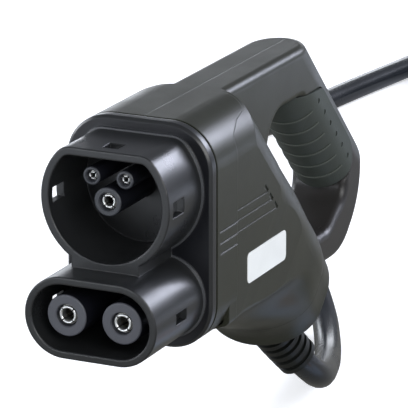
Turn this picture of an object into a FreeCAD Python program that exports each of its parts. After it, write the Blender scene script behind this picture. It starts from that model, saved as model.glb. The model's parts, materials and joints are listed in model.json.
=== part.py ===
import FreeCAD, Part
import math
import os

# Charging connector with its cable: a direct-current vehicle plug with a slanted grip.
# Frame: millimetres, +Z up, the plug pushes in towards -Y, +X is to the right seen from the front.
# The origin is the axis of the earth contact in the plane of the upper collar's front rim.

V = FreeCAD.Vector
AXIS_X = V(1, 0, 0)
AXIS_Y = V(0, 1, 0)
AXIS_Z = V(0, 0, 1)

# Driving dimensions of the mating face
DC_SPACING = 27.0           # between the two power contacts, the standard's own distance
DC_DROP = 50.0              # power contacts below the earth contact
PILOT_SPACING = 16.2        # between the two small pilot contacts
PILOT_RISE = 10.75          # pilot contacts above the earth contact
COLLAR_R = 31.5             # outer radius of the upper collar
COLLAR_FLAT = 23.8          # flat top of the upper collar above the earth contact
COLLAR_WALL = 3.8
COLLAR_CORNER = 9.0         # rounding at the ends of the flat top
DC_COLLAR_R = 18.8          # end radius of the lower collar
DC_COLLAR_WALL = 3.5
DC_REACH = 15.2             # lower collar in front of the upper one
ROOT_Y = 33.5               # where both collars meet the flange
ROOT_STEP = 1.0             # raised ring round each collar's root
BRIDGE_HALF = 16.5          # half width of the block between the collars
BRIDGE_FOOT = -40.0         # the block ends inside the lower collar's wall
TOP_WINDOW_HALF = 3.9
CAVITY_FLOOR = 37.0         # depth of both cavities
RIM_EDGE = 0.6

# Flange and body
BODY_HALF = 36.0
BODY_TOP = 30.2
BODY_FOOT = -74.6
BODY_ROUND = 21.5
FLANGE_T = 5.0
FLANGE_BEVEL = 1.2
GASKET_T = 1.5
GASKET_INSET = 0.9
GASKET_WIDTH = 2.4
BLOCK_LEN = 21.5            # front block of the housing
PANEL_INSET = 0.5           # the side panels lie this much inside the front block
PANEL_FOOT = -67.0
SHOULDER_STEP = 0.7         # the rear part's top corners lie this much inside the front block's
WALL = 3.0
LEAN = math.radians(45.0)   # the grip, the rear face and the outlet all lean by this much
REAR_N = 90.5               # crest of the crowned rear face, measured square to the lean
CROWN_N = 63.0              # where the crown meets the flat sides
AXIS_N = 47.3               # axis of bend relief and cable, measured the same way
OUTLET_S = 189.0            # end of the outlet, measured along the lean
COLLAR_LEN = 17.0           # the outlet's end ring
COLLAR_FLOOR = 6.0          # end wall of that ring
PANEL_BLEND = 5.4           # width of the rounding along the side panels' lower edges
ROUND_OFF = 0.552           # handle length of a curve that stands for a quarter round
BODY_ROWS = [               # along the lean, inside the half width, flat side's foot, belly, tuck-in in degrees
    (110.0, 0.5, 15.5, -2.0, 58.0),
    (130.0, 0.8, 35.5, 8.0, 44.0),
    (147.0, 1.7, 50.0, 16.5, 22.0),
    (160.0, 2.0, 54.4, 23.0, 8.0),
    (172.0, 3.6, 54.4, 28.8, 4.0),
    (189.0, 5.8, 54.4, 29.3, 4.0),
]
PANEL_TUCK = 62.0

# Handle
GRIP_HALF = 15.0
GRIP_EDGE = 4.2
GRIP_REAR_N = 161.0
GRIP_FRONT_N = 133.0
GRIP_END_S = 227.0
WEB_N = 89.3                # the finger gap's own edge beside the rear face
BAR_FOOT = 6.0
BAR_LOW = -86.6
GAP_EDGE = 3.5
GAP_LOW_Y0 = 190.0          # low edge of the finger gap
GAP_LOW_Y1 = 216.0
GAP_LOW_Z = -70.2
GAP_RADII = [17.5, 5.0, 10.0, 11.0, 6.0]
HANDLE_CORE_HALF = 8.0      # hollow inside the handle
PAD_FRONT_N = 125.8
PAD_REAR_N = 148.6
PAD_HALF = 15.9
PAD_CORE_N = 136.0
PAD_CORE_HALF = 11.0
PAD_TOP_Z = 6.0
PAD_SEAM = 0.5              # open line round the pad
PAD_LIP = 5.0               # the pad's band starts this much in front of the pad
PAD_CORNER_TOP = 6.0        # rounding of the pad's rear corners
PAD_CORNER_FOOT = 15.0
PAD_FOOT_S = 203.0
PAD_RING_FIRST = 140.7
PAD_RING_STEP = 10.4
PAD_RINGS = 6
PAD_RING_W = 0.9
PAD_RING_RISE = 0.45
PAD_RING_END = 7.0          # the rings stop this far in front of the flat flanks
PAD_DOT_DEPTH = 0.5
PAD_DOT_R = 1.3

# Marks on the flanks: fine grooves, a dashed groove and a recessed plate
LINE_W = 0.8
LINE_DEPTH = 0.4
LINES = [(-15.5, 62.0, 94.8), (-20.3, 42.7, 100.1), (-25.7, 42.7, 106.4), (-30.6, 42.7, 61.5)]
DASH_N = 57.1
DASHES = [(74.2, 79.0), (81.8, 86.6), (89.4, 94.2)]
DASH_W = 1.6
DASH_DEPTH = 0.8
PLATE_Y0 = 73.4
PLATE_Y1 = 116.3
PLATE_Z0 = -53.7
PLATE_Z1 = -39.2
PLATE_ROUND = 2.5
PLATE_BACK = BODY_HALF - PANEL_INSET - 0.6
PLATE_T = 0.65

# Screws that close the two shells: places in the body, along the lean and square to it, and in the handle
SCREW_R = 1.9
SCREW_HEAD_R = 3.6
SCREW_HEAD_T = 3.0
SCREW_SEAT = -5.0           # underside of the head, from the middle plane
SCREW_END = 12.0
SCREW_WELL_R = 4.2
BOSS_R = 6.2
BODY_SCREWS = [(80.0, 80.0), (150.0, 78.0), (97.6, 9.9), (135.0, 25.0)]
TOP_SCREW = (74.0, 20.2)
HANDLE_SCREWS = [(112.0, 137.0), (208.0, 148.3)]

# Contacts: hole, outside diameter, length behind the tip
POWER_BORE = 8.06
POWER_OD = 12.4
EARTH_BORE = 6.06
EARTH_OD = 9.2
PILOT_BORE = 3.06
PILOT_OD = 5.2
POWER_SLEEVE_OD = 19.2
EARTH_SLEEVE_OD = 13.2
PILOT_SLEEVE_OD = 8.4
POWER_RECESS = 4.0          # sleeve face behind its collar's rim
EARTH_RECESS = 2.9
PILOT_RECESS = 3.5
CONTACT_BACK = 66.0         # rear end of every contact
CONTACT_TIP = 2.0           # contact tip behind the sleeve's face
SOCKET_DEPTH = 30.0
SLOT_W = 0.7
SLOT_LEN = 20.0
SLOTS = 4
CARRIER_Y0 = 38.5
CARRIER_Y1 = 58.0
FIT = 0.05                  # clearance of parts that push together

# Bend relief and clamp
RELIEF_R = 11.5             # at the outlet
RELIEF_TAPER = 0.026        # radius lost along the relief, per millimetre
RELIEF_LEN = 42.0
RELIEF_CORE_R = 9.2         # at the bottom of the ring grooves
RELIEF_BEND_R = 106.0       # the relief bends sideways with the cable
RELIEF_BEND_TILT = math.radians(-16.0)
RELIEF_FLANGE_R = 13.4
RELIEF_FLANGE_T = 4.0
GROOVE_FIRST = 9.5
GROOVE_STEP = 5.6
GROOVE_W = 2.6
GROOVES = 6
CLAMP_S0 = 160.0
CLAMP_S1 = 171.0
CLAMP_HALF = 17.5
CLAMP_RISE = 10.5
CLAMP_SCREW_X = 12.3
CLAMP_SCREW_R = 1.5

# Conductors: radius, place in the cable's section (sideways, up)
CABLE_R = 7.0
CABLE_S = 158.0             # the jacket ends here, inside the clamp
CONDUCTORS = {
    "dc_plus": (2.3, -2.5, 0.6),
    "dc_minus": (2.3, 2.5, 0.6),
    "earth": (1.7, 0.0, -3.45),
    "pilot": (0.8, 1.2, 4.0),
    "proximity": (0.8, -1.2, 4.0),
}
BARREL_DEPTH = 14.0
WIRE_TURN_Y = 78.0          # the conductors run straight back to here
WIRE_DROP = 27.0
KNEE_LOW_S = 112.0          # where they turn into the cable's axis, along the lean
KNEE_HIGH_S = 124.0
STRIPPED = 46.0             # the far end's bare conductors
FERRULE_LEN = 16.0

# Put-away coil, and the floor that it lies on with the loop of the cable
FLOOR_Z = -170.5
COIL_MEAN_R = 77.0
COIL_WIDE = 3
COIL_HIGH = 2
COIL_X = -109.0
COIL_Y = 930.0
TIE_W = 14.0
TIE_T = 1.2
TIE_BEARING = 60.0
COIL_STUB = 54.0
COIL_EDGE = 5.0             # rounding of the coil's outer shape
COIL_INSET = 0.4            # the near stub lies this much inside that shape
COIL_END_OUT = 12.0         # the far stub lies beside the outer turn, on the floor
CABLE_ROUTE = [             # from the tip of the bend relief round the loop and off behind the handle
    (14.3, 204.3, -143.2),
    (3.2, 239.3, -153.0),
    (-20.9, 301.9, -165.5),
    (-48.8, 357.1, -156.8),
    (-117.3, 407.7, -77.2),
    (-221.4, 571.6, -146.1),
    (-226.0, 700.0, -163.3),
    (-214.5, 800.0, -163.3),
]

EXPORTED = []


def lean_point(s, n, x=0.0):
    """Point from its distance along the lean (s) and square to it (n)."""
    along = V(0, math.cos(LEAN), -math.sin(LEAN))
    square = V(0, math.sin(LEAN), math.cos(LEAN))
    return along * s + square * n + V(x, 0, 0)


LEAN_DIR = V(0, math.cos(LEAN), -math.sin(LEAN))
LEAN_UP = V(0, math.sin(LEAN), math.cos(LEAN))


def save(name, shape):
    """Write one named piece."""
    shape.exportStep("parts/" + name + ".step")
    EXPORTED.append((name, shape))


def rounded_wire(points, radii):
    """Closed wire through corner points, each corner an arc of its own radius."""
    count = len(points)
    starts = []
    ends = []
    mids = []
    for k in range(count):
        corner = points[k]
        before = (points[k - 1] - corner).normalize()
        after = (points[(k + 1) % count] - corner).normalize()
        r = radii[k]
        if r <= 0:
            starts.append(corner)
            ends.append(corner)
            mids.append(None)
            continue
        half = before.getAngle(after) / 2
        reach = r / math.tan(half)
        middle = (before + after).normalize()
        starts.append(corner + before * reach)
        ends.append(corner + after * reach)
        mids.append(corner + middle * (r / math.sin(half) - r))
    edges = []
    for k in range(count):
        if mids[k] is not None:
            edges.append(Part.Arc(starts[k], mids[k], ends[k]).toShape())
        nxt = (k + 1) % count
        if (starts[nxt] - ends[k]).Length > 1e-6:
            edges.append(Part.LineSegment(ends[k], starts[nxt]).toShape())
    return Part.Wire(edges)


def side_prism(points, radii, x0, x1):
    """Prism across X from a profile of (y, z) corners."""
    wire = rounded_wire([V(x0, y, z) for y, z in points], radii)
    return Part.Face(wire).extrude(V(x1 - x0, 0, 0))


def front_prism(points, radii, y0, y1):
    """Prism along Y from a profile of (x, z) corners."""
    wire = rounded_wire([V(x, y0, z) for x, z in points], radii)
    return Part.Face(wire).extrude(V(0, y1 - y0, 0))


def cyl_y(x, z, r, y0, y1):
    return Part.makeCylinder(r, y1 - y0, V(x, y0, z), AXIS_Y)


def cone_y(x, z, r0, r1, y0, y1):
    return Part.makeCone(r0, r1, y1 - y0, V(x, y0, z), AXIS_Y)


def cyl_lean(r, s0, s1, n=AXIS_N):
    return Part.makeCylinder(r, s1 - s0, lean_point(s0, n), LEAN_DIR)


def box(x0, x1, y0, y1, z0, z1):
    return Part.makeBox(x1 - x0, y1 - y0, z1 - z0, V(x0, y0, z0))


def fillet_where(shape, radius, test):
    """Round the edges that a test picks."""
    edges = [e for e in shape.Edges if test(e)]
    return shape.makeFillet(radius, edges) if edges else shape


# The mating face: both collars, the block between them and the flange in one moulding


def upper_section(inset, y0, y1):
    """D-shaped section of the upper collar, with rounded ends of its flat top."""
    r = COLLAR_R - inset
    top = COLLAR_FLAT - inset
    corner = COLLAR_CORNER - inset
    x_flat = math.sqrt((r - corner) ** 2 - (top - corner) ** 2)
    toward = V(x_flat, 0, top - corner).normalize()
    middle = (toward + AXIS_Z).normalize()
    centre = V(x_flat, y0, top - corner)
    flat_end = V(x_flat, y0, top)
    half_way = centre + middle * corner
    arc_end = centre + toward * corner

    def mirrored(p):
        return V(-p.x, p.y, p.z)
    edges = [
        Part.LineSegment(mirrored(flat_end), flat_end).toShape(),
        Part.Arc(flat_end, half_way, arc_end).toShape(),
        Part.Arc(arc_end, V(0, y0, -r), mirrored(arc_end)).toShape(),
        Part.Arc(mirrored(arc_end), mirrored(half_way), mirrored(flat_end)).toShape(),
    ]
    return Part.Face(Part.Wire(edges)).extrude(V(0, y1 - y0, 0))


def lower_section(inset, y0, y1):
    """Section of the lower collar, two half circles and two flats."""
    r = DC_COLLAR_R - inset
    x = DC_SPACING / 2
    zc = -DC_DROP
    edges = [
        Part.LineSegment(V(-x, y0, zc + r), V(x, y0, zc + r)).toShape(),
        Part.Arc(V(x, y0, zc + r), V(x + r, y0, zc), V(x, y0, zc - r)).toShape(),
        Part.LineSegment(V(x, y0, zc - r), V(-x, y0, zc - r)).toShape(),
        Part.Arc(V(-x, y0, zc - r), V(-x - r, y0, zc), V(-x, y0, zc + r)).toShape(),
    ]
    return Part.Face(Part.Wire(edges)).extrude(V(0, y1 - y0, 0))


def body_corners(inset):
    half = BODY_HALF - inset
    top = BODY_TOP - inset
    foot = BODY_FOOT + inset
    return [(-half, foot), (half, foot), (half, top), (-half, top)]


def block_prism(inset, y0, y1):
    """Tall rounded rectangle that flange, gasket and front block share."""
    return front_prism(body_corners(inset), [BODY_ROUND - inset] * 4, y0, y1)


def rim_rounded(shape, y):
    """Break the sharp edges of a rim that lies in the plane y."""
    def on_rim(edge):
        box_ = edge.BoundBox
        return abs(box_.YMin - y) < 1e-3 and abs(box_.YMax - y) < 1e-3
    return fillet_where(shape, RIM_EDGE, on_rim)


def windows():
    """Openings for the lock of the inlet, through the collars' walls."""
    deep = COLLAR_WALL + 4
    reach = COLLAR_R
    side = box(reach - deep, reach + 1, 4.0, 15.0, -4.0, 3.0)
    cuts = [box(-TOP_WINDOW_HALF, TOP_WINDOW_HALF, 5.6, 13.7, COLLAR_FLAT - deep, COLLAR_FLAT + 1)]
    cuts.append(side)
    cuts.append(side.mirror(V(0, 0, 0), AXIS_X))
    low = DC_SPACING / 2 + DC_COLLAR_R
    lower = box(low - DC_COLLAR_WALL - 1.5, low + 1, 5.0, 15.6, -53.3, -47.9)
    cuts.append(lower)
    cuts.append(lower.mirror(V(0, 0, 0), AXIS_X))
    return cuts


def sockets():
    """Every contact place: name, x, z, sleeve radius, collar rim, recess, bore radius, contact radius."""
    x_dc = DC_SPACING / 2
    x_p = PILOT_SPACING / 2
    power = (POWER_SLEEVE_OD / 2, -DC_REACH, POWER_RECESS, POWER_BORE / 2, POWER_OD / 2)
    earth = (EARTH_SLEEVE_OD / 2, 0.0, EARTH_RECESS, EARTH_BORE / 2, EARTH_OD / 2)
    pilot = (PILOT_SLEEVE_OD / 2, 0.0, PILOT_RECESS, PILOT_BORE / 2, PILOT_OD / 2)
    return [
        ("dc_plus", -x_dc, -DC_DROP) + power,
        ("dc_minus", x_dc, -DC_DROP) + power,
        ("earth", 0.0, 0.0) + earth,
        ("pilot", x_p, PILOT_RISE) + pilot,
        ("proximity", -x_p, PILOT_RISE) + pilot,
    ]


def mating_face():
    upper = rim_rounded(upper_section(0, 0, ROOT_Y + 1).cut(upper_section(COLLAR_WALL, -1, ROOT_Y + 2)), 0)
    lower_solid = lower_section(0, -DC_REACH, ROOT_Y + 1)
    lower_hole = lower_section(DC_COLLAR_WALL, -DC_REACH - 1, ROOT_Y + 2)
    lower = rim_rounded(lower_solid.cut(lower_hole), -DC_REACH)
    bridge = box(-BRIDGE_HALF, BRIDGE_HALF, 0, ROOT_Y + 1, BRIDGE_FOOT, -COLLAR_R + 6)
    bridge = fillet_where(bridge, 2.0, lambda e: abs(e.BoundBox.YLength - ROOT_Y - 1) < 1e-3
                          and e.BoundBox.ZMax < BRIDGE_FOOT + 1)
    flange = block_prism(0, ROOT_Y, ROOT_Y + FLANGE_T)
    flange = flange.makeChamfer(FLANGE_BEVEL, [e for e in flange.Edges if e.BoundBox.YMax < ROOT_Y + 1e-3])
    root = upper_section(-ROOT_STEP, ROOT_Y - 0.8, ROOT_Y + 1)
    root_low = lower_section(-ROOT_STEP, ROOT_Y - 0.8, ROOT_Y + 1)
    shape = flange.fuse([upper, lower, bridge, root, root_low])
    shape = shape.cut(upper_section(COLLAR_WALL, -1, CAVITY_FLOOR))
    shape = shape.cut(lower_section(DC_COLLAR_WALL, -DC_REACH - 1, CAVITY_FLOOR))
    for cut in windows():
        shape = shape.cut(cut)
    for name, x, z, sleeve_r, rim, recess, bore_r, contact_r in sockets():
        shape = shape.cut(cyl_y(x, z, sleeve_r + FIT, CAVITY_FLOOR - 1, ROOT_Y + FLANGE_T + 1))
    return shape.removeSplitter()


def sleeve(x, z, sleeve_r, rim, recess, bore_r, contact_r):
    """Insulating tower round one contact, with a lead-in cone at its mouth."""
    front = rim + recess
    body = cyl_y(x, z, sleeve_r, front, CARRIER_Y0)
    body = body.makeFillet(0.7, [e for e in body.Edges if e.BoundBox.YMax < front + 1e-3])
    mouth = bore_r + 1.5
    body = body.cut(cone_y(x, z, mouth, bore_r + 0.4, front - 0.01, front + CONTACT_TIP))
    body = body.cut(cyl_y(x, z, bore_r + 0.4, front, front + CONTACT_TIP + 0.1))
    return body.cut(cyl_y(x, z, contact_r + FIT, front + CONTACT_TIP, CARRIER_Y0 + 1))


def contact(x, z, sleeve_r, rim, recess, bore_r, contact_r, wire_r):
    """Turned socket contact with a slotted spring end and a crimp barrel."""
    front = rim + recess + CONTACT_TIP
    body = cyl_y(x, z, contact_r, front, CONTACT_BACK)
    body = body.makeChamfer(0.4, [e for e in body.Edges if e.BoundBox.YMax < front + 1e-3])
    body = body.cut(cyl_y(x, z, bore_r, front - 1, front + SOCKET_DEPTH))
    body = body.cut(cyl_y(x, z, wire_r, CONTACT_BACK - BARREL_DEPTH, CONTACT_BACK + 1))
    for k in range(SLOTS // 2):
        slot = box(-contact_r - 1, contact_r + 1, front - 1, front + SLOT_LEN, -SLOT_W / 2, SLOT_W / 2)
        slot.rotate(V(0, 0, 0), AXIS_Y, 45 + 90 * k)
        slot.translate(V(x, 0, z))
        body = body.cut(slot)
    return body


def contact_carrier():
    """Insulating block behind the flange that holds all the contacts."""
    block = block_prism(GASKET_INSET + GASKET_WIDTH, CARRIER_Y0, CARRIER_Y1)
    for name, x, z, sleeve_r, rim, recess, bore_r, contact_r in sockets():
        block = block.cut(cyl_y(x, z, contact_r + FIT, CARRIER_Y0 - 1, CARRIER_Y1 + 1))
    return block


def flange_gasket():
    y0 = ROOT_Y + FLANGE_T
    ring = block_prism(GASKET_INSET, y0, y0 + GASKET_T)
    return ring.cut(block_prism(GASKET_INSET + GASKET_WIDTH, y0 - 1, y0 + GASKET_T + 1))


# The housing: a solid of the whole outside, hollowed and split down the middle


BLOCK_Y0 = ROOT_Y + FLANGE_T + GASKET_T
BLOCK_Y1 = BLOCK_Y0 + BLOCK_LEN
BODY_START = 16.0
BODY_STRAIGHT = 90.0
SHOULDER_LINE = [(50, -200), (61.5, -200), (61.5, 19.0), (73, 23.5), (84, 25.2), (104, 40), (50, 40)]


def bezier(points):
    curve = Part.BezierCurve()
    curve.setPoles(points)
    return curve.toShape()


def body_section(s, half, n_side, n_foot, tuck, inset):
    """Section square to the lean: crowned rear, flat sides with a rounded lower edge, and the belly."""
    def at(x, n):
        return lean_point(s, n, x)
    half = half - inset
    crest = REAR_N - inset
    foot = n_foot + inset
    shoulder = max(CROWN_N, n_side + PANEL_BLEND)
    rise = crest - shoulder
    turn = math.radians(tuck)
    radius = PANEL_BLEND / turn
    grip = radius * math.tan(turn / 4) * 4 / 3
    edge_n = n_side + PANEL_BLEND / 2
    low_x = half - radius * (1 - math.cos(turn))
    low_n = edge_n - radius * math.sin(turn)
    pull = min(ROUND_OFF * (low_n - foot) / math.cos(turn), ROUND_OFF * half)

    def side(sign):
        """The five curves of one side, from the belly to the crest."""
        points = [
            [(0, foot), (ROUND_OFF * low_x, foot),
             (low_x - pull * math.sin(turn), low_n - pull * math.cos(turn)), (low_x, low_n)],
            [(low_x, low_n), (low_x + grip * math.sin(turn), low_n + grip * math.cos(turn)),
             (half, edge_n - grip), (half, edge_n)],
            [(half, edge_n), (half, shoulder)],
            [(half, shoulder), (half, shoulder + ROUND_OFF * rise), (ROUND_OFF * half, crest), (0, crest)],
        ]
        return [[at(sign * x, n) for x, n in curve] for curve in points]
    right = side(1)
    left = [curve[::-1] for curve in side(-1)[::-1]]
    return Part.Wire([bezier(curve) for curve in right + left])


def slanted_body(inset):
    """The body behind the front block, lofted along the lean."""
    half = BODY_HALF - PANEL_INSET
    drop = PANEL_FOOT / math.sin(LEAN)
    floor = BODY_FOOT / math.sin(LEAN)
    rows = [(s, half, s + drop, s + floor, PANEL_TUCK) for s in (BODY_START, BODY_STRAIGHT)]
    sections = [body_section(*row, inset) for row in rows]
    straight = Part.makeLoft(sections, True, True)
    tapered = [(s, BODY_HALF - inside, foot, belly, tuck) for s, inside, foot, belly, tuck in BODY_ROWS]
    sections = [body_section(*row, inset) for row in [rows[1]] + tapered]
    return straight.fuse(Part.makeLoft(sections, True, False))


def upper_limit(inset):
    """Space under the flat top and its two large corners, which step in behind the front block."""
    y0 = BLOCK_Y1 - 8
    y1 = 300
    top = BODY_TOP - inset

    def space(half, radius):
        corners = [(-half, -200), (half, -200), (half, top), (-half, top)]
        return front_prism(corners, [0, 0, radius, radius], y0, y1)
    outer = space(BODY_HALF - inset, BODY_ROUND - inset)
    inner = space(BODY_HALF - inset - SHOULDER_STEP, BODY_ROUND - inset)
    front = side_prism(SHOULDER_LINE, [0, 0, 5, 8, 6, 0, 0], -50, 50)
    return inner.fuse(outer.common(front))


def handle_outline():
    """Side outline of the handle as (y, z) corners and their radii."""
    n = GRIP_REAR_N
    top = BODY_TOP
    heel = lean_point(GRIP_END_S, n)
    toe = V(0, GRIP_END_S / math.sin(LEAN) + BAR_LOW, BAR_LOW)
    points = [(66, top), (n / math.sin(LEAN) - top, top), (heel.y, heel.z), (toe.y, toe.z),
              (180, BAR_LOW), (120, -40)]
    return points, [0, 0, 40, 28, 0, 0]


def finger_gap():
    """Side outline of the finger gap."""
    rear_foot = lean_point(209.5, GRIP_FRONT_N + 1)
    points = [(WEB_N / math.sin(LEAN) - BAR_FOOT, BAR_FOOT), (GAP_LOW_Y0, GAP_LOW_Z), (GAP_LOW_Y1, GAP_LOW_Z),
              (rear_foot.y, rear_foot.z), (GRIP_FRONT_N / math.sin(LEAN) - BAR_FOOT, BAR_FOOT)]
    return points, GAP_RADII


def round_back(half, rear):
    """Prism along the lean whose rear side is a full half circle."""
    s0 = -120.0
    low = -250.0
    n_flat = rear - half
    edges = [
        Part.LineSegment(lean_point(s0, low, -half), lean_point(s0, low, half)).toShape(),
        Part.LineSegment(lean_point(s0, low, half), lean_point(s0, n_flat, half)).toShape(),
        Part.Arc(lean_point(s0, n_flat, half), lean_point(s0, rear), lean_point(s0, n_flat, -half)).toShape(),
        Part.LineSegment(lean_point(s0, n_flat, -half), lean_point(s0, low, -half)).toShape(),
    ]
    return Part.Face(Part.Wire(edges)).extrude(LEAN_DIR * 500)


def on_flank(edge, half):
    """True for an edge that lies in one of the planes X = half and X = -half."""
    limits = edge.BoundBox
    return limits.XLength < 1e-3 and abs(abs(limits.XMin) - half) < 1e-3


def handle_solid():
    points, radii = handle_outline()
    solid = side_prism(points, radii, -GRIP_HALF, GRIP_HALF)

    def on_outer(edge):
        limits = edge.BoundBox
        return on_flank(edge, GRIP_HALF) and limits.ZMax < BODY_TOP - 0.01 and limits.YMax > 181
    solid = fillet_where(solid, GRIP_EDGE, on_outer)
    solid = solid.common(round_back(GRIP_HALF, GRIP_REAR_N))

    def on_top(edge):
        return edge.BoundBox.ZMin > BODY_TOP - 0.01 and edge.BoundBox.YMax > 90
    solid = fillet_where(solid, GRIP_EDGE, on_top)
    gap_points, gap_radii = finger_gap()
    solid = solid.cut(side_prism(gap_points, gap_radii, -GRIP_HALF - 1, GRIP_HALF + 1))

    def on_gap(edge):
        limits = edge.BoundBox
        inside = limits.YMin > 100 and limits.YMax < 246 and limits.ZMax < BAR_FOOT + 1e-3
        return on_flank(edge, GRIP_HALF) and inside and limits.ZMin > -71
    return fillet_where(solid, GAP_EDGE, on_gap)


def handle_hollow():
    """Space inside the top bar and the grip."""
    inner = GRIP_REAR_N - 4
    front = PAD_CORE_N + 3
    top = BODY_TOP - 4
    foot = BAR_FOOT + 4
    tail = lean_point(214, inner)
    tail_front = lean_point(214, front)
    points = [(85, foot), (front / math.sin(LEAN) - foot, foot), (tail_front.y, tail_front.z),
              (tail.y, tail.z), (inner / math.sin(LEAN) - top, top), (85, top)]
    return side_prism(points, [0, 4, 3, 3, 4, 0], -HANDLE_CORE_HALF, HANDLE_CORE_HALF)


def lean_slab(s0, s1):
    """Everything between two planes square to the lean."""
    size = 600.0
    slab = Part.makeBox(size, size, s1 - s0, V(-size / 2, -size / 2, 0))
    slab.rotate(V(0, 0, 0), AXIS_X, 270 - math.degrees(LEAN))
    slab.translate(lean_point(s0, AXIS_N))
    return slab


def lean_box(x0, x1, s0, s1, n0, n1):
    corners = [lean_point(s0, n0), lean_point(s1, n0), lean_point(s1, n1), lean_point(s0, n1)]
    return side_prism([(c.y, c.z) for c in corners], [0] * 4, x0, x1)


def outside(inset):
    """Solid of the housing's outside, or of its hollow when inset by the wall."""
    block = block_prism(inset, BLOCK_Y0 - inset, BLOCK_Y1)
    rear = slanted_body(inset).common(upper_limit(inset))
    return block.fuse(rear)


def pad_band(seam):
    """Room of the grip pad from side to side, wider than the handle, less the seam round it."""
    top = PAD_TOP_Z - seam
    root = math.sin(LEAN)
    front_n = PAD_FRONT_N - PAD_LIP
    rear_n = PAD_REAR_N - seam
    low_rear = lean_point(PAD_FOOT_S - seam, rear_n)
    low_front = lean_point(PAD_FOOT_S - seam, front_n)
    points = [(front_n / root - top, top), (rear_n / root - top, top),
              (low_rear.y, low_rear.z), (low_front.y, low_front.z)]
    return side_prism(points, [0, PAD_CORNER_TOP, PAD_CORNER_FOOT, 0], -2 * PAD_HALF, 2 * PAD_HALF)


def pad_space():
    """Room that the grip pad takes, with its core still in it: flat sides and a round front."""
    s0 = 60.0
    mid_n = PAD_FRONT_N + PAD_HALF
    rear_n = PAD_REAR_N + 1
    corners = [lean_point(s0, mid_n, -PAD_HALF), lean_point(s0, rear_n, -PAD_HALF),
               lean_point(s0, rear_n, PAD_HALF), lean_point(s0, mid_n, PAD_HALF)]
    edges = [Part.Arc(corners[3], lean_point(s0, PAD_FRONT_N), corners[0]).toShape()]
    for k in range(3):
        edges.append(Part.LineSegment(corners[k], corners[k + 1]).toShape())
    bar = Part.Face(Part.Wire(edges)).extrude(LEAN_DIR * 200)
    return bar.common(pad_band(PAD_SEAM))


def pad_core():
    """Part of the handle that the pad wraps round."""
    return lean_box(-PAD_CORE_HALF, PAD_CORE_HALF, 60, 260, PAD_CORE_N, 200)


def grip_pad():
    """Soft sleeve on the grip with low rings round its front, and a dot on each flank in line with each ring."""
    pad = pad_space().cut(pad_core())
    mid_n = PAD_FRONT_N + PAD_HALF
    for k in range(PAD_RINGS):
        s = PAD_RING_FIRST + k * PAD_RING_STEP
        ring = cyl_lean(PAD_HALF + PAD_RING_RISE, s - PAD_RING_W / 2, s + PAD_RING_W / 2, mid_n)
        core = cyl_lean(PAD_HALF - PAD_RING_RISE, s - PAD_RING_W, s + PAD_RING_W, mid_n)
        front = lean_box(-2 * PAD_HALF, 2 * PAD_HALF, s - PAD_RING_W, s + PAD_RING_W, mid_n - 2 * PAD_HALF,
                         mid_n - PAD_RING_END)
        pad = pad.fuse(ring.cut(core).common(front))
        for x in (-PAD_HALF - 1, PAD_HALF - PAD_DOT_DEPTH):
            start = lean_point(s, mid_n - 1, x)
            pad = pad.cut(Part.makeCylinder(PAD_DOT_R, 1 + PAD_DOT_DEPTH, start, AXIS_X))
    return pad


def screw_places():
    """Shell screws as (y, z): one under the flat top, the others given along the lean."""
    slanted = [lean_point(s, n) for s, n in BODY_SCREWS]
    return [TOP_SCREW] + [(p.y, p.z) for p in slanted]


def handle_screw_places():
    slanted = [lean_point(s, n) for s, n in HANDLE_SCREWS]
    return [(p.y, p.z) for p in slanted]


def cross_cyl(place, r, x0, x1):
    return Part.makeCylinder(r, x1 - x0, V(x0, place[0], place[1]), AXIS_X)


def shell_screws():
    screws = []
    for place in screw_places() + handle_screw_places():
        head = cross_cyl(place, SCREW_HEAD_R, SCREW_SEAT - SCREW_HEAD_T, SCREW_SEAT)
        head = head.cut(cross_cyl(place, SCREW_HEAD_R * 0.5, SCREW_SEAT - SCREW_HEAD_T, SCREW_SEAT - 1.2))
        screws.append(head.fuse(cross_cyl(place, SCREW_R, SCREW_SEAT, SCREW_END)))
    return Part.makeCompound(screws)


def flank_marks():
    """Grooves of both flanks."""
    cuts = []
    flank = BODY_HALF - PANEL_INSET
    beyond = BODY_HALF + 4
    for z, y0, y1 in LINES:
        if y0 < BLOCK_Y1:
            cuts.append(box(BODY_HALF - LINE_DEPTH, beyond, y0, BLOCK_Y1, z - LINE_W / 2, z + LINE_W / 2))
        if y1 > BLOCK_Y1:
            cuts.append(box(flank - LINE_DEPTH, beyond, BLOCK_Y1, y1, z - LINE_W / 2, z + LINE_W / 2))
    for s0, s1 in DASHES:
        cuts.append(lean_box(flank - DASH_DEPTH, beyond, s0, s1, DASH_N - DASH_W / 2, DASH_N + DASH_W / 2))
    marks = cuts[0].fuse(cuts[1:])
    return marks.fuse(marks.mirror(V(0, 0, 0), AXIS_X))


def plate_prism(x0, x1):
    points = [(PLATE_Y0, PLATE_Z0), (PLATE_Y1, PLATE_Z0), (PLATE_Y1, PLATE_Z1), (PLATE_Y0, PLATE_Z1)]
    return side_prism(points, [PLATE_ROUND] * 4, x0, x1)


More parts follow.
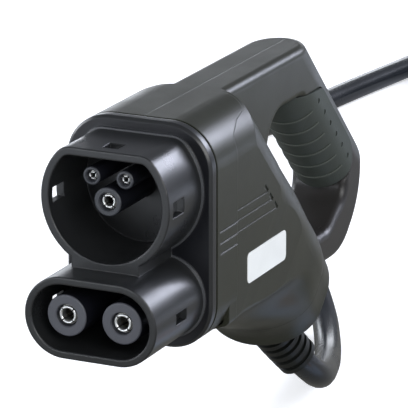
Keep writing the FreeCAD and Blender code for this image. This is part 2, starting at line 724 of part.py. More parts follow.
def housing():
    """Both shells in one solid, still to be split down the middle."""
    collar_s = OUTLET_S - COLLAR_LEN
    beyond = lean_slab(collar_s, 400)
    skin = outside(0).cut(beyond)
    handle = handle_solid()
    hollow = outside(WALL).cut(beyond).fuse(handle_hollow())
    mouth = block_prism(WALL, BLOCK_Y0 - 5, BLOCK_Y0 + 5)
    shell = skin.fuse(handle).cut(hollow).cut(mouth)
    shell = shell.cut(pad_band(0).cut(pad_core()))
    bosses = [cross_cyl(place, BOSS_R, -BODY_HALF, BODY_HALF) for place in screw_places()]
    for side in (-1, 1):
        rib = lean_box(CLAMP_HALF, BODY_HALF, CLAMP_S0, CLAMP_S1, AXIS_N - CLAMP_RISE, AXIS_N + CLAMP_RISE)
        bosses.append(rib if side > 0 else rib.mirror(V(0, 0, 0), AXIS_X))
    middle = outside(WALL / 2)
    shell = shell.fuse([boss.common(middle) for boss in bosses])
    posts = [cross_cyl(place, BOSS_R - 0.9, -HANDLE_CORE_HALF - 1, HANDLE_CORE_HALF + 1)
             for place in handle_screw_places()]
    shell = shell.fuse(posts)
    for place in screw_places() + handle_screw_places():
        shell = shell.cut(cross_cyl(place, SCREW_WELL_R, -50, SCREW_SEAT))
        shell = shell.cut(cross_cyl(place, SCREW_R, SCREW_SEAT, SCREW_END))
    shell = shell.cut(flank_marks())
    return shell.cut(plate_prism(PLATE_BACK, BODY_HALF + 4))


def outlet_collar(handle):
    """End ring of the outlet, open towards the lower bar of the handle."""
    s0 = OUTLET_S - COLLAR_LEN
    ring = outside(0).common(lean_slab(s0, 400))
    hollow = outside(WALL).common(lean_slab(s0 - 1, OUTLET_S - COLLAR_FLOOR))
    ring = ring.cut(hollow).cut(handle)
    return ring.cut(cyl_lean(RELIEF_R, OUTLET_S - COLLAR_FLOOR - 1, OUTLET_S + 1))


def relief_bend():
    """Centre and axis of the arc that the relief follows."""
    side = AXIS_X * math.cos(RELIEF_BEND_TILT) + LEAN_UP * math.sin(RELIEF_BEND_TILT)
    return lean_point(OUTLET_S, AXIS_N) + side * RELIEF_BEND_R, LEAN_DIR.cross(side)


def relief_point(distance):
    """Point of the relief's axis and the direction there."""
    centre, axis = relief_bend()
    turn = FreeCAD.Rotation(axis, math.degrees(distance / RELIEF_BEND_R))
    arm = lean_point(OUTLET_S, AXIS_N) - centre
    return centre + turn.multVec(arm), turn.multVec(LEAN_DIR)


def relief_piece(r, d0, d1):
    """Round rod along the relief's axis from one distance to another."""
    centre, axis = relief_bend()
    point, direction = relief_point(d0)
    disc = Part.Face(Part.Wire([Part.Circle(point, direction, r).toShape()]))
    return disc.revolve(centre, axis, math.degrees((d1 - d0) / RELIEF_BEND_R))


def bend_relief():
    """Soft tapered sleeve with deep ring grooves, held by its flange behind the collar's end wall."""
    flange_s = OUTLET_S - COLLAR_FLOOR
    root = cyl_lean(RELIEF_FLANGE_R, flange_s - RELIEF_FLANGE_T, flange_s)
    shape = root.fuse([cyl_lean(RELIEF_R, flange_s, OUTLET_S), relief_piece(RELIEF_CORE_R, 0, RELIEF_LEN)])
    starts = [0.0] + [GROOVE_FIRST + k * GROOVE_STEP + GROOVE_W / 2 for k in range(GROOVES)]
    ends = [GROOVE_FIRST + k * GROOVE_STEP - GROOVE_W / 2 for k in range(GROOVES)] + [RELIEF_LEN - 0.5]
    for d0, d1 in zip(starts, ends):
        r = RELIEF_R - RELIEF_TAPER * (d0 + d1) / 2
        shape = shape.fuse(relief_piece(r, d0, d1))
    shape = shape.cut(cyl_lean(CABLE_R, flange_s - RELIEF_FLANGE_T - 1, OUTLET_S))
    return shape.cut(relief_piece(CABLE_R, 0, RELIEF_LEN + 1))


def cable_clamp(upper):
    n0, n1 = (AXIS_N, AXIS_N + CLAMP_RISE) if upper else (AXIS_N - CLAMP_RISE, AXIS_N)
    block = lean_box(-CLAMP_HALF, CLAMP_HALF, CLAMP_S0, CLAMP_S1, n0, n1)
    block = block.cut(cyl_lean(CABLE_R, CLAMP_S0 - 1, CLAMP_S1 + 1))
    for screw in clamp_screw_list():
        block = block.cut(screw)
    return block


def clamp_screw_list():
    """Two cap screws that draw the clamp halves together."""
    screws = []
    s = (CLAMP_S0 + CLAMP_S1) / 2
    for x in (-CLAMP_SCREW_X, CLAMP_SCREW_X):
        low = lean_point(s, AXIS_N - CLAMP_RISE + 3, x)
        high = lean_point(s, AXIS_N + CLAMP_RISE, x)
        shank = Part.makeCylinder(CLAMP_SCREW_R, (high - low).Length, low, LEAN_UP)
        head = Part.makeCylinder(CLAMP_SCREW_R * 1.9, 2.6, high, LEAN_UP)
        screws.append(shank.fuse(head))
    return screws


# Cords: straight runs joined by tangent arcs


def cord_wire(points):
    """Path, radii and length of a cord whose arcs take 0.45 of the shorter run beside them."""
    edges = []
    radii = []
    start = points[0]
    for k in range(1, len(points) - 1):
        back = points[k - 1] - points[k]
        ahead = points[k + 1] - points[k]
        reach = 0.45 * min(back.Length, ahead.Length)
        back.normalize()
        ahead.normalize()
        turn = math.pi - back.getAngle(ahead)
        r = reach / math.tan(turn / 2)
        radii.append(r)
        first = points[k] + back * reach
        last = points[k] + ahead * reach
        middle = points[k] + (back + ahead).normalize() * (r / math.cos(turn / 2) - r)
        edges.append(Part.LineSegment(start, first).toShape())
        edges.append(Part.Arc(first, middle, last).toShape())
        start = last
    edges.append(Part.LineSegment(start, points[-1]).toShape())
    wire = Part.Wire(edges)
    return wire, radii, wire.Length


def cord(name, points, r):
    points = [V(*p) for p in points]
    wire, radii, length = cord_wire(points)
    direction = points[1] - points[0]
    ring = Part.Wire([Part.Circle(points[0], direction, r).toShape()])
    tube = wire.makePipeShell([ring], True, False)
    print(name, "length", round(length, 1), "radii", [round(v) for v in radii],
          "volume ratio", round(tube.Volume / (math.pi * r * r * length), 4))
    return tube


def inner_route(name, x, z):
    """Points of one conductor from its contact to the end of the jacket."""
    wire_r, side, rise = CONDUCTORS[name]
    n = AXIS_N + rise
    y0 = CONTACT_BACK - BARREL_DEPTH
    end = lean_point(CABLE_S, n, side)
    if z < -DC_DROP / 2:
        return [(x, y0, z), (x, WIRE_TURN_Y, z), (side, n / math.sin(LEAN) - z, z), end]
    knee = lean_point(KNEE_LOW_S if rise < 0 else KNEE_HIGH_S, n, side)
    half = (x + side) / 2
    return [(x, y0, z), (x, WIRE_TURN_Y + 3, z), (half, WIRE_TURN_Y + 19, z - WIRE_DROP), knee, end]


def conductor(name, x, z):
    points = inner_route(name, x, z)
    return cord(name + "_wire", points, CONDUCTORS[name][0])


def cable_inner():
    """Stretch of the cable inside the plug, from the clamp to the tip of the bend relief."""
    return cyl_lean(CABLE_R, CABLE_S, OUTLET_S).fuse(relief_piece(CABLE_R, 0, RELIEF_LEN))


def coil_axis():
    return V(COIL_X, COIL_Y, FLOOR_Z + TIE_T)


def coil_section(grow):
    """Radii and heights of the coil's outer shape, grown by a wall."""
    d = 2 * CABLE_R
    half = COIL_WIDE * d / 2
    return COIL_MEAN_R - half - grow, COIL_MEAN_R + half + grow, -grow, COIL_HIGH * d + grow


def ring_solid(grow, edge_r):
    r0, r1, z0, z1 = coil_section(grow)
    base = coil_axis() + V(0, 0, z0)
    ring = Part.makeCylinder(r1, z1 - z0, base).cut(Part.makeCylinder(r0, z1 - z0, base))
    return ring.makeFillet(edge_r, [e for e in ring.Edges if e.Closed])


def coil_stub(side):
    """Start of the straight run that leaves the coil on one side."""
    outer_turn = COIL_MEAN_R + (COIL_WIDE - 1) * CABLE_R
    x = COIL_X + COIL_INSET - outer_turn
    if side > 0:
        x = COIL_X + outer_turn + COIL_END_OUT
    return V(x, COIL_Y - COIL_STUB, FLOOR_Z + TIE_T + CABLE_R + COIL_INSET)


def cable_coil():
    ring = ring_solid(0, COIL_EDGE)
    for side in (-1, 1):
        ring = ring.fuse(Part.makeCylinder(CABLE_R, COIL_STUB + COIL_EDGE, coil_stub(side), AXIS_Y))
    return ring


def coil_tie():
    """Flat strap wound once round the turns."""
    strap = ring_solid(TIE_T, COIL_EDGE + TIE_T).cut(ring_solid(0, COIL_EDGE))
    block = box(0, 2 * COIL_MEAN_R, -TIE_W / 2, TIE_W / 2, -TIE_T - 1, COIL_HIGH * 2 * CABLE_R + TIE_T + 1)
    block.rotate(V(0, 0, 0), AXIS_Z, TIE_BEARING)
    block.translate(coil_axis())
    return strap.common(block)


def far_wire(name):
    r, side, rise = CONDUCTORS[name]
    start = coil_stub(1) + V(side, 0, rise)
    return Part.makeCylinder(r, STRIPPED, start - V(0, STRIPPED, 0), AXIS_Y)


def ferrule(name):
    """Crimped sleeve with a collar on the bare end of one conductor."""
    r, side, rise = CONDUCTORS[name]
    tip = coil_stub(1) + V(side, -STRIPPED, rise)
    sleeve_ = Part.makeCylinder(r * 0.75, FERRULE_LEN, tip - V(0, FERRULE_LEN, 0), AXIS_Y)
    collar = Part.makeCone(r * 0.8, r, FERRULE_LEN * 0.35, tip - V(0, FERRULE_LEN * 0.35, 0), AXIS_Y)
    return sleeve_.fuse(collar)


def main():
    os.makedirs("parts", exist_ok=True)
    save("mating_face", mating_face())
    save("contact_carrier", contact_carrier())
    save("flange_gasket", flange_gasket())
    for row in sockets():
        name = row[0]
        save(name + "_sleeve", sleeve(*row[1:]))
        save(name + "_contact", contact(*row[1:], CONDUCTORS[name][0]))
        save(name + "_wire", conductor(name, row[1], row[2]))
    shell = housing()
    size = 1000.0
    save("housing_right", shell.common(box(0, size, -size, size, -size, size)))
    save("housing_left", shell.common(box(-size, 0, -size, size, -size, size)))
    save("grip_pad", grip_pad())
    save("shell_screws", shell_screws())
    save("label_plate", plate_prism(PLATE_BACK, PLATE_BACK + PLATE_T))
    save("outlet_collar", outlet_collar(handle_solid()))
    save("bend_relief", bend_relief())
    save("clamp_upper", cable_clamp(True))
    save("clamp_lower", cable_clamp(False))
    save("clamp_screws", Part.makeCompound(clamp_screw_list()))
    save("cable_inner", cable_inner())
    route = [relief_point(RELIEF_LEN)[0]] + CABLE_ROUTE + [coil_stub(-1)]
    save("cable", cord("cable", route, CABLE_R))
    save("cable_coil", cable_coil())
    save("coil_tie", coil_tie())
    for name in CONDUCTORS:
        save("end_" + name + "_wire", far_wire(name))
        save("end_" + name + "_ferrule", ferrule(name))
    for name, shape in EXPORTED:
        limits = shape.BoundBox
        print(name, shape.isValid(), len(shape.Solids), round(shape.Volume), [round(v, 1) for v in
              (limits.XMin, limits.XMax, limits.YMin, limits.YMax, limits.ZMin, limits.ZMax)])


main()
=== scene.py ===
import json
import math
import bmesh
import bpy
from mathutils import Matrix, Vector


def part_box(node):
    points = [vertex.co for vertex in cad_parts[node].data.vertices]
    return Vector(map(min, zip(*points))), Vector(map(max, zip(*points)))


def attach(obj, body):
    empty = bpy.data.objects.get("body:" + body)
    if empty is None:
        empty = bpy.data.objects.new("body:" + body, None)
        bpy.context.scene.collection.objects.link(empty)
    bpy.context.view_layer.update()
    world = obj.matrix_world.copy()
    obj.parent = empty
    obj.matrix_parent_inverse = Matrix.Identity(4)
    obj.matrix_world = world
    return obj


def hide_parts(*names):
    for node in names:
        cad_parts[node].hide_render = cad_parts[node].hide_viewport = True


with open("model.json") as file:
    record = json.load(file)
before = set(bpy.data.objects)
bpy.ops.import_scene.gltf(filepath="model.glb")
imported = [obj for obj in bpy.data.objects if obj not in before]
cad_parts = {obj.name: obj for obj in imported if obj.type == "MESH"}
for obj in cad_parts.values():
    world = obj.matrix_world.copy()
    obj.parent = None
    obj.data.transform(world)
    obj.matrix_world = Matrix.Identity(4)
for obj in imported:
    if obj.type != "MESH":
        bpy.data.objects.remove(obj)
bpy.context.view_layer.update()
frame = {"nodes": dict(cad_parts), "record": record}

# Looks of a charging plug with a slanted grip and its cable.
# Lengths are in metres, in the frame of the CAD model.


FLOOR_Z = -0.1705


# Camera, fitted to the photograph

CAMERA_AT = (0.679387, -1.345618, 0.451885)
CAMERA_RIGHT = (0.90530593, 0.42476013, 0.0)
CAMERA_UP = (-0.12203193, 0.26009086, 0.95784182)
CAMERA_BACK = (0.40685302, -0.86713988, 0.2872961)
CAMERA_LENS = 317.65
SENSOR_WIDTH = 36.0


def add_camera():
    data = bpy.data.cameras.new("camera")
    data.lens = CAMERA_LENS
    data.sensor_width = SENSOR_WIDTH
    data.sensor_fit = "HORIZONTAL"
    data.clip_end = 20.0
    camera = bpy.data.objects.new("camera", data)
    bpy.context.scene.collection.objects.link(camera)
    axes = Matrix((CAMERA_RIGHT, CAMERA_UP, CAMERA_BACK)).transposed().to_4x4()
    camera.matrix_world = Matrix.Translation(CAMERA_AT) @ axes
    bpy.context.scene.camera = camera


add_camera()


# Cable: the loop, the run along the floor and the put-away coil in one spline

CABLE_R = 0.007
CABLE_D = 2 * CABLE_R
TIE_T = 0.0012              # the strap under the coil lifts it by its thickness
COIL_X = -0.109
COIL_Y = 0.930
COIL_R = 0.077              # middle one of the three rings of turns
COIL_STUB = 0.054           # the cable joins and leaves the coil this far in front of its middle
COIL_STEP = 20              # degrees between the points of a turn
COIL_CHANGE = 60            # degrees over which a turn passes to the next ring
COIL_FALL = 100             # last degrees, over which the outermost turn comes down to the floor
COIL_TURNED = 5 * 360 + 180

ROUTE = [
    (0.0079, 0.1944, -0.1307),
    (0.0143, 0.2043, -0.1432),
    (0.0032, 0.2393, -0.1530),
    (-0.0209, 0.3019, -0.1655),
    (-0.0488, 0.3571, -0.1568),
    (-0.1173, 0.4077, -0.0772),
    (-0.2214, 0.5716, -0.1461),
    (-0.2260, 0.7000, -0.1633),
    (-0.2145, 0.8000, -0.1633),
]
ON_FLOOR = FLOOR_Z + TIE_T + CABLE_R
WIRES = ("dc_plus", "dc_minus", "earth", "pilot", "proximity")


def coil_rings():
    """Radius and height of each turn: three side by side from outside in, then back outwards on top."""
    upper = ON_FLOOR + CABLE_D
    return [(COIL_R + CABLE_D, ON_FLOOR), (COIL_R, ON_FLOOR), (COIL_R - CABLE_D, ON_FLOOR),
            (COIL_R - CABLE_D, upper), (COIL_R, upper), (COIL_R + CABLE_D, upper)]


def coil_place(turned):
    """Radius and height of the coil after so many degrees."""
    rings = coil_rings()
    ring = min(turned // 360, len(rings) - 1)
    r, z = rings[ring]
    changed = turned % 360 - (360 - COIL_CHANGE)
    if changed > 0 and ring + 1 < len(rings):
        share = changed / COIL_CHANGE
        share = share * share * (3 - 2 * share)
        next_r, next_z = rings[ring + 1]
        r += (next_r - r) * share
        z += (next_z - z) * share
    left = COIL_TURNED - turned
    if left < COIL_FALL:
        fallen = math.pi / 2 * (1 - left / COIL_FALL)
        r += CABLE_D * math.sin(fallen)
        z -= CABLE_D * (1 - math.cos(fallen))
    return r, z


def coil_points():
    points = []
    # the smooth curve passes its control points at this share of their radius
    inside = math.cos(math.radians(COIL_STEP / 2)) ** 2 * 0.5 + 0.5
    for turned in range(0, COIL_TURNED + 1, COIL_STEP):
        r, z = coil_place(turned)
        r /= inside
        angle = math.radians(180 - turned)
        points.append((COIL_X + r * math.cos(angle), COIL_Y + r * math.sin(angle), z))
    return points


def cable_points():
    start = (COIL_X - COIL_R - CABLE_D, COIL_Y - COIL_STUB, ON_FLOOR)
    end = (COIL_X + COIL_R + 2 * CABLE_D, COIL_Y - COIL_STUB, ON_FLOOR)
    return ROUTE + [start] + coil_points()[1:] + [end]


def nurbs_tube(name, points, radius):
    """Tube round a smooth spline. The radius stands at the points, so the curve's own box is true."""
    data = bpy.data.curves.new(name, "CURVE")
    data.dimensions = "3D"
    data.bevel_depth = 1.0
    data.bevel_resolution = 8
    data.resolution_u = 10
    data.use_fill_caps = True
    spline = data.splines.new("NURBS")
    spline.points.add(len(points) - 1)
    for point, place in zip(spline.points, points):
        point.co = (*place, 1.0)
        point.radius = radius
    spline.order_u = 3
    spline.use_endpoint_u = True
    obj = bpy.data.objects.new(name, data)
    bpy.context.scene.collection.objects.link(obj)
    return obj


def add_cable():
    cable = nurbs_tube("charging_cable", cable_points(), CABLE_R)
    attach(cable, "root")
    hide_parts("cable", "cable_coil")
    return cable


CABLE = add_cable()


# Spring lips in the mouths of the contacts

BORE_R = {"dc_plus": 0.00403, "dc_minus": 0.00403, "earth": 0.00303, "pilot": 0.00153, "proximity": 0.00153}
LIP_OVER = 0.0003           # the lips reach this far over the bore's edge
LIP_NARROW = 0.70           # share of the bore that the lips leave open
LIP_OUT = 0.0002            # the lips start this far in front of the contact
LIP_IN = 0.003              # and end this deep in its bore
LIP_SLOT = 0.00035          # half of the slot between two lips
LIP_COLUMNS = 12
NOSE_ROWS = 8


def lip_profile(bore_r):
    """Radius and depth along a lip: straight out of the bore, round the nose and back to the rim."""
    wide = bore_r + LIP_OVER
    narrow = bore_r * LIP_NARROW
    nose = (wide - narrow) / 2
    rows = [(narrow, LIP_IN)]
    for k in range(NOSE_ROWS + 1):
        turned = math.pi * k / NOSE_ROWS
        rows.append(((wide + narrow) / 2 - nose * math.cos(turned), -LIP_OUT - nose * math.sin(turned)))
    return rows + [(wide, 0.0)]


def add_lip(shape, profile, centre, start, reach):
    """One lip that sweeps the profile over an angle round the contact's axis."""
    columns = []
    for k in range(LIP_COLUMNS + 1):
        angle = start + reach * k / LIP_COLUMNS
        columns.append([shape.verts.new(centre + Vector((r * math.cos(angle), y, r * math.sin(angle))))
                        for r, y in profile])
    for one, two in zip(columns, columns[1:]):
        for k in range(len(profile) - 1):
            shape.faces.new((one[k], one[k + 1], two[k + 1], two[k])).smooth = True


def lip_ring(name, bore_r):
    """Four rounded lips with the contact's slots between them."""
    low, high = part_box(name + "_contact")
    centre = Vector(((low[0] + high[0]) / 2, low[1], (low[2] + high[2]) / 2))
    slot = LIP_SLOT / bore_r
    shape = bmesh.new()
    for quarter in range(4):
        start = math.radians(45 + 90 * quarter) + slot
        add_lip(shape, lip_profile(bore_r), centre, start, math.radians(90) - 2 * slot)
    mesh = bpy.data.meshes.new(name + "_lips")
    shape.to_mesh(mesh)
    shape.free()
    lips = bpy.data.objects.new(name + "_lips", mesh)
    bpy.context.scene.collection.objects.link(lips)
    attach(lips, "root")
    return lips


LIPS = [lip_ring(name, bore_r) for name, bore_r in BORE_R.items()]


# Materials

EDGE_R = 0.0009             # rounding of the plastic's sharp edges, which catch thin lines of light


class Shader:
    """Small helper round one node tree with a principled shader."""

    def __init__(self, name):
        self.material = bpy.data.materials.new(name)
        self.material.use_nodes = True
        self.tree = self.material.node_tree
        self.shader = self.tree.nodes["Principled BSDF"]
        self.place = self.tree.nodes.new("ShaderNodeTexCoord").outputs["Object"]

    def link(self, a, b):
        self.tree.links.new(a, b)

    def feed(self, socket, value):
        self.link(value, self.shader.inputs[socket])

    def noise(self, scale, detail=3.0, rough=0.5, stretch=None):
        node = self.tree.nodes.new("ShaderNodeTexNoise")
        node.inputs["Scale"].default_value = scale
        node.inputs["Detail"].default_value = detail
        node.inputs["Roughness"].default_value = rough
        place = self.place
        if stretch:
            mapping = self.tree.nodes.new("ShaderNodeMapping")
            mapping.inputs["Scale"].default_value = stretch
            self.link(self.place, mapping.inputs["Vector"])
            place = mapping.outputs["Vector"]
        self.link(place, node.inputs["Vector"])
        return node.outputs["Fac"]

    def cells(self, scale):
        node = self.tree.nodes.new("ShaderNodeTexVoronoi")
        node.feature = "SMOOTH_F1"
        node.inputs["Scale"].default_value = scale
        self.link(self.place, node.inputs["Vector"])
        return node.outputs["Distance"]

    def ramp(self, fac, stops):
        node = self.tree.nodes.new("ShaderNodeValToRGB")
        elements = node.color_ramp.elements
        while len(elements) < len(stops):
            elements.new(0.5)
        for element, (at, colour) in zip(elements, stops):
            element.position = at
            element.color = (*colour, 1.0)
        self.link(fac, node.inputs["Fac"])
        return node.outputs["Color"]

    def between(self, value, start, stop, low, high):
        """Runs from low to high while the value runs from start to stop."""
        node = self.tree.nodes.new("ShaderNodeMapRange")
        node.inputs["From Min"].default_value = start
        node.inputs["From Max"].default_value = stop
        node.inputs["To Min"].default_value = low
        node.inputs["To Max"].default_value = high
        self.link(value, node.inputs["Value"])
        return node.outputs["Result"]

    def bump(self, height, distance, strength=1.0, after=None):
        node = self.tree.nodes.new("ShaderNodeBump")
        node.inputs["Distance"].default_value = distance
        node.inputs["Strength"].default_value = strength
        self.link(height, node.inputs["Height"])
        if after:
            self.link(after, node.inputs["Normal"])
        return node.outputs["Normal"]

    def beside_plane(self):
        """Distance from the parting plane of the two shells."""
        axes = self.tree.nodes.new("ShaderNodeSeparateXYZ")
        self.link(self.place, axes.inputs["Vector"])
        node = self.tree.nodes.new("ShaderNodeMath")
        node.operation = "ABSOLUTE"
        self.link(axes.outputs["X"], node.inputs[0])
        return node.outputs["Value"]

    def soft_edge(self, radius, seam=0.0):
        """Normal that turns smoothly over sharp edges, but not within seam of the parting plane."""
        node = self.tree.nodes.new("ShaderNodeBevel")
        node.samples = 6
        node.inputs["Radius"].default_value = radius
        if seam:
            self.link(self.between(self.beside_plane(), seam, seam * 2, 0.0, radius), node.inputs["Radius"])
        return node.outputs["Normal"]


def times(colour, gain):
    return tuple(c * gain for c in colour)


def moulded(name, colour, rough, grain=2600.0, depth=0.00003, spec=0.5, edge=0.0, seam=0.0):
    """Satin moulded plastic or rubber: fine grain, faint tone changes, softened edges."""
    s = Shader(name)
    tone = s.noise(14.0, 4.0, 0.6)
    s.feed("Base Color", s.ramp(tone, [(0.3, times(colour, 0.9)), (0.7, times(colour, 1.1))]))
    s.feed("Roughness", s.between(s.noise(45.0), 0.25, 0.75, rough - 0.05, rough + 0.05))
    fine = s.bump(s.cells(grain), depth, after=s.soft_edge(edge, seam) if edge else None)
    s.feed("Normal", s.bump(s.noise(25.0, 2.0), 0.0002, 0.25, fine))
    s.shader.inputs["Specular IOR Level"].default_value = spec
    return s.material


def metal(name, colour, rough):
    """Turned or plated metal with fine tool marks along one direction."""
    s = Shader(name)
    marks = s.noise(40.0, 4.0, 0.6, (1.0, 60.0, 60.0))
    s.feed("Base Color", s.ramp(marks, [(0.3, times(colour, 0.85)), (0.7, colour)]))
    s.feed("Roughness", s.between(marks, 0.25, 0.75, rough - 0.06, rough + 0.08))
    s.feed("Normal", s.bump(marks, 0.00002))
    s.shader.inputs["Metallic"].default_value = 1.0
    return s.material


def woven(name, colour):
    """Hook and loop strap: crossed yarns."""
    s = Shader(name)
    height = s.cells(1400.0)
    s.feed("Base Color", s.ramp(height, [(0.1, times(colour, 0.5)), (0.7, times(colour, 1.6))]))
    s.feed("Roughness", s.between(height, 0.25, 0.75, 0.8, 0.95))
    s.feed("Normal", s.bump(height, 0.0003))
    s.shader.inputs["Sheen Weight"].default_value = 0.4
    return s.material


def rigid_plastics():
    face = moulded("face_plastic", (0.0145, 0.0155, 0.0165), 0.31, depth=0.00001, edge=EDGE_R)
    housing = moulded("housing_plastic", (0.0165, 0.018, 0.0105), 0.36, spec=0.48, edge=0.0008)
    # finger gap's foot: the housing plastic with wider soft edges, tinted purplish brown as painted shade
    # inside the gap
    gap_foot_shaded = moulded("housing_round_painted_shade", (0.019, 0.0175, 0.0165), 0.32, spec=0.48, edge=0.003, seam=0.003)
    return {
        "face_plastic": face,
        # flange front: a near-black copy of the face plastic, painted shade on the flange's front between rim
        # and root ring
        "flange_painted_shade": moulded("flange_painted_shade", (0.005, 0.0055, 0.008), 0.36, spec=0.4, edge=EDGE_R),
        # root ring fronts: a lighter copy of the face plastic, a painted highlight for the light line along
        # the rings' edge
        "root_ring_painted_highlight": moulded("root_ring_painted_highlight", (0.055, 0.058, 0.064), 0.3, edge=EDGE_R),
        # near-black, painted shade for surfaces deep in the cavity
        "cavity_painted_shade": moulded("cavity_painted_shade", (0.005, 0.0055, 0.009), 0.45, spec=0.4),
        "sleeve_plastic": moulded("sleeve_plastic", (0.062, 0.065, 0.078), 0.42),
        "sleeve_small": moulded("sleeve_small", (0.030, 0.033, 0.040), 0.42),
        "housing_plastic": housing,
        "housing_round_painted_shade": gap_foot_shaded,
        "collar_plastic": moulded("collar_plastic", (0.0165, 0.018, 0.012), 0.36, spec=0.48, edge=0.001),
        "label_white": moulded("label_white", (0.84, 0.86, 0.83), 0.4, 3000.0, 0.00001),
    }


def soft_plastics():
    return {
        # gasket: black rubber made blacker still, partly painted shade for its dark groove
        "gasket_rubber": moulded("gasket_rubber", (0.003, 0.003, 0.003), 0.7, 1800.0, spec=0.15),
        "grip_rubber": moulded("grip_rubber", (0.040, 0.048, 0.041), 0.6, 1500.0, 0.00006),
        # pad's rings: lighter than the pad rubber, a painted highlight on the raised rings
        "grip_ring_painted_highlight": moulded("grip_ring_painted_highlight", (0.085, 0.095, 0.082), 0.55, 1500.0, 0.00004),
        "relief_rubber": moulded("relief_rubber", (0.006, 0.007, 0.006), 0.42, 2200.0, spec=0.35),
        "jacket": moulded("jacket", (0.014, 0.016, 0.019), 0.25, 1600.0, 0.00001),
        "tie_fabric": woven("tie_fabric", (0.025, 0.025, 0.028)),
        "wire_red": moulded("wire_red", (0.42, 0.02, 0.02), 0.4),
        "wire_black": moulded("wire_black", (0.015, 0.015, 0.015), 0.4),
        "wire_green": moulded("wire_green", (0.08, 0.3, 0.04), 0.4),
        "wire_white": moulded("wire_white", (0.7, 0.7, 0.67), 0.4),
        "wire_blue": moulded("wire_blue", (0.03, 0.08, 0.4), 0.4),
    }


def metals():
    return {
        "lip_metal": metal("lip_metal", (0.74, 0.75, 0.74), 0.36),
        "contact_metal": metal("contact_metal", (0.62, 0.60, 0.56), 0.3),
        "screw_steel": metal("screw_steel", (0.55, 0.55, 0.57), 0.35),
        "ferrule_tin": metal("ferrule_tin", (0.72, 0.72, 0.71), 0.3),
    }


MATERIALS = {**rigid_plastics(), **soft_plastics(), **metals()}


# Finishes of the nodes, and second materials on some of their faces that paint highlights and shade

GRIP_AXIS = 0.1417          # axis of the grip, measured square to its lean
GRIP_R = 0.0159
RING_RISE = 0.0002          # faces that stand this far off the pad are its rings
FLANGE_Y = 0.0335           # front of the flange
ROOT_RING_Y = 0.0327        # front of the raised rings at the collars' roots
SAME_PLANE = 0.0003
SLEEVE_FACE_T = 0.0008      # depth of a sleeve's front with its rounded edge
GAP_FOOT_Y = 0.165          # the finger gap's foot lies behind this place
GAP_FOOT_Z = -0.035         # and below this one
SMALL_SLEEVES = ("earth", "pilot", "proximity")


def dress_nodes():
    for part in frame["record"]["subparts"]:
        obj = frame["nodes"][part["node"]]
        obj.data.materials.clear()
        obj.data.materials.append(MATERIALS[part["material_slot"]])
        for face in obj.data.polygons:
            face.material_index = 0
    for name in SMALL_SLEEVES:
        frame["nodes"][name + "_sleeve"].data.materials[0] = MATERIALS["sleeve_small"]


def dress_faces(node, material, wanted):
    """A second material for the faces of a node whose centres are wanted, used here to paint highlight and
    shade.
    """
    mesh = frame["nodes"][node].data
    mesh.materials.append(MATERIALS[material])
    for face in mesh.polygons:
        if wanted(face.center):
            face.material_index = len(mesh.materials) - 1


def on_pad_ring(point):
    square = (point.y + point.z) / math.sqrt(2) - GRIP_AXIS
    return square < 0 and math.hypot(point.x, square) > GRIP_R + RING_RISE


def on_flange(point):
    return abs(point.y - FLANGE_Y) < SAME_PLANE


def on_root_ring(point):
    return abs(point.y - ROOT_RING_Y) < SAME_PLANE


def at_gap_foot(point):
    return point.y > GAP_FOOT_Y and point.z < GAP_FOOT_Z


def dress_sleeve_side(name):
    """Paints the cavity's shade on the sleeves' sides with a near-black material."""
    low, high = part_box(name + "_sleeve")
    dress_faces(name + "_sleeve", "cavity_painted_shade", lambda point: point.y > low[1] + SLEEVE_FACE_T)


def dress_all():
    dress_nodes()
    # painted highlight on the pad's raised rings
    dress_faces("grip_pad", "grip_ring_painted_highlight", on_pad_ring)
    # painted shade on the flange's front
    dress_faces("mating_face", "flange_painted_shade", on_flange)
    # painted highlight on the fronts of the collars' root rings
    dress_faces("mating_face", "root_ring_painted_highlight", on_root_ring)
    # painted shade on the inner faces at the foot of the finger gap
    for shell in ("housing_right", "housing_left"):
        dress_faces(shell, "housing_round_painted_shade", at_gap_foot)
    # painted shade on the sleeves' sides
    for name in WIRES:
        dress_sleeve_side(name)
    CABLE.data.materials.append(MATERIALS["jacket"])
    for lips in LIPS:
        lips.data.materials.append(MATERIALS["lip_metal"])


dress_all()


# Floor: the camera sees it white, and it sends the object a darker light that varies with the place: painted
# reflections, a warm spot and a cool ring near the outlet that show in the cable and the belly

FLOOR_HALF = 4.0
FLOOR_GLOW = 0.42
SENT_WARM = (0.62, 0.30, 0.09)
SENT_COOL = (0.60, 0.70, 0.84)
SENT_DARK = (0.25, 0.24, 0.205)
SENT_PALE = (0.85, 0.88, 0.92)
# SENT_FROM and SENT_OVER paint a warm spot and a cool ring on the floor near the outlet, for painted
# reflections in the cable and the belly
SENT_FROM = (0.115, 0.195, FLOOR_Z)
SENT_OVER = [(0.0, SENT_WARM), (0.022, SENT_WARM), (0.034, SENT_COOL), (0.062, SENT_COOL),
             (0.082, SENT_DARK), (0.62, SENT_DARK), (0.8, SENT_PALE)]
SEEN_LOW = (0.88, 0.88, 0.88)
SEEN_HIGH = (0.91, 0.91, 0.91)


def floor_colour(s, seen):
    """Pale where the camera sees the floor, and elsewhere painted reflection colours by distance from one
    place.
    """
    away = s.tree.nodes.new("ShaderNodeVectorMath")
    away.operation = "DISTANCE"
    away.inputs[1].default_value = SENT_FROM
    s.link(s.place, away.inputs[0])
    mix = s.tree.nodes.new("ShaderNodeMix")
    mix.data_type = "RGBA"
    s.link(seen, mix.inputs["Factor"])
    s.link(s.ramp(away.outputs["Value"], SENT_OVER), mix.inputs["A"])
    s.link(s.ramp(s.noise(3.0), [(0.0, SEEN_LOW), (1.0, SEEN_HIGH)]), mix.inputs["B"])
    return mix.outputs["Result"]


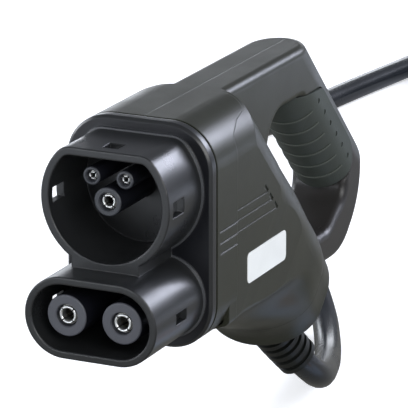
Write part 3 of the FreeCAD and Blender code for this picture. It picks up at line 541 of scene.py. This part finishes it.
def add_floor():
    half = FLOOR_HALF
    corners = [(-half, -half, FLOOR_Z), (half, -half, FLOOR_Z), (half, half, FLOOR_Z), (-half, half, FLOOR_Z)]
    mesh = bpy.data.meshes.new("floor")
    mesh.from_pydata(corners, [], [(0, 1, 2, 3)])
    floor = bpy.data.objects.new("floor", mesh)
    bpy.context.scene.collection.objects.link(floor)
    s = Shader("floor")
    seen = s.tree.nodes.new("ShaderNodeLightPath").outputs["Is Camera Ray"]
    s.feed("Base Color", floor_colour(s, seen))
    s.shader.inputs["Roughness"].default_value = 0.9
    s.shader.inputs["Specular IOR Level"].default_value = 0.1
    s.shader.inputs["Emission Color"].default_value = (1.0, 1.0, 1.0, 1.0)
    s.feed("Emission Strength", s.between(seen, 0.0, 1.0, 0.0, FLOOR_GLOW))
    mesh.materials.append(s.material)


# Light: soft rectangular lamps round the object, and a dim even light from all sides

LAMP_AIM = Vector((0.0, 0.12, -0.03))
LAMP_AWAY = 1.7
COOL = (0.9, 0.94, 1.0)
LAVENDER = (0.813, 0.849, 1.0)
PLAIN = (1.0, 1.0, 1.0)
AROUND = (0.92, 0.96, 1.06, 1.0)
AROUND_STRENGTH = 0.28
BEHIND_STRENGTH = 1.1

# name, azimuth and rise in degrees, size, power, colour
LAMPS = [
    ("back_light", 52.0, 27.0, (1.0, 0.6), 26.5, LAVENDER),
    ("low_light", 118.0, 4.0, (1.1, 0.26), 3.5, COOL),
    ("right_light", -45.0, 25.0, (1.3, 0.9), 19.0, PLAIN),
    ("front_light", -118.0, 2.0, (1.4, 0.3), 9.0, COOL),
    ("left_light", 178.0, 18.0, (1.4, 0.8), 20.0, COOL),
]


def soft_lamp(name, azimuth, rise, size, power, colour):
    """Rectangular lamp at the same distance all round, turned to the middle of the object."""
    data = bpy.data.lights.new(name, "AREA")
    data.shape = "RECTANGLE"
    data.size, data.size_y = size
    data.energy = power
    data.color = colour
    lamp = bpy.data.objects.new(name, data)
    bpy.context.scene.collection.objects.link(lamp)
    lamp.visible_camera = False
    turned = math.radians(azimuth)
    risen = math.radians(rise)
    across = LAMP_AWAY * math.cos(risen)
    away = Vector((across * math.cos(turned), across * math.sin(turned), LAMP_AWAY * math.sin(risen)))
    lamp.location = LAMP_AIM + away
    lamp.rotation_euler = (-away).to_track_quat("-Z", "Y").to_euler()


def add_world():
    """White behind the object, and a dimmer cool light from all sides on it."""
    world = bpy.data.worlds.new("studio")
    bpy.context.scene.world = world
    world.use_nodes = True
    tree = world.node_tree
    around = tree.nodes["Background"]
    around.inputs["Color"].default_value = AROUND
    around.inputs["Strength"].default_value = AROUND_STRENGTH
    behind = tree.nodes.new("ShaderNodeBackground")
    behind.inputs["Color"].default_value = (1.0, 1.0, 1.0, 1.0)
    behind.inputs["Strength"].default_value = BEHIND_STRENGTH
    mix = tree.nodes.new("ShaderNodeMixShader")
    path = tree.nodes.new("ShaderNodeLightPath")
    tree.links.new(path.outputs["Is Camera Ray"], mix.inputs["Fac"])
    tree.links.new(around.outputs["Background"], mix.inputs[1])
    tree.links.new(behind.outputs["Background"], mix.inputs[2])
    tree.links.new(mix.outputs["Shader"], tree.nodes["World Output"].inputs["Surface"])


add_floor()
bpy.context.scene.view_settings.view_transform = "Standard"
add_world()
for lamp in LAMPS:
    soft_lamp(*lamp)
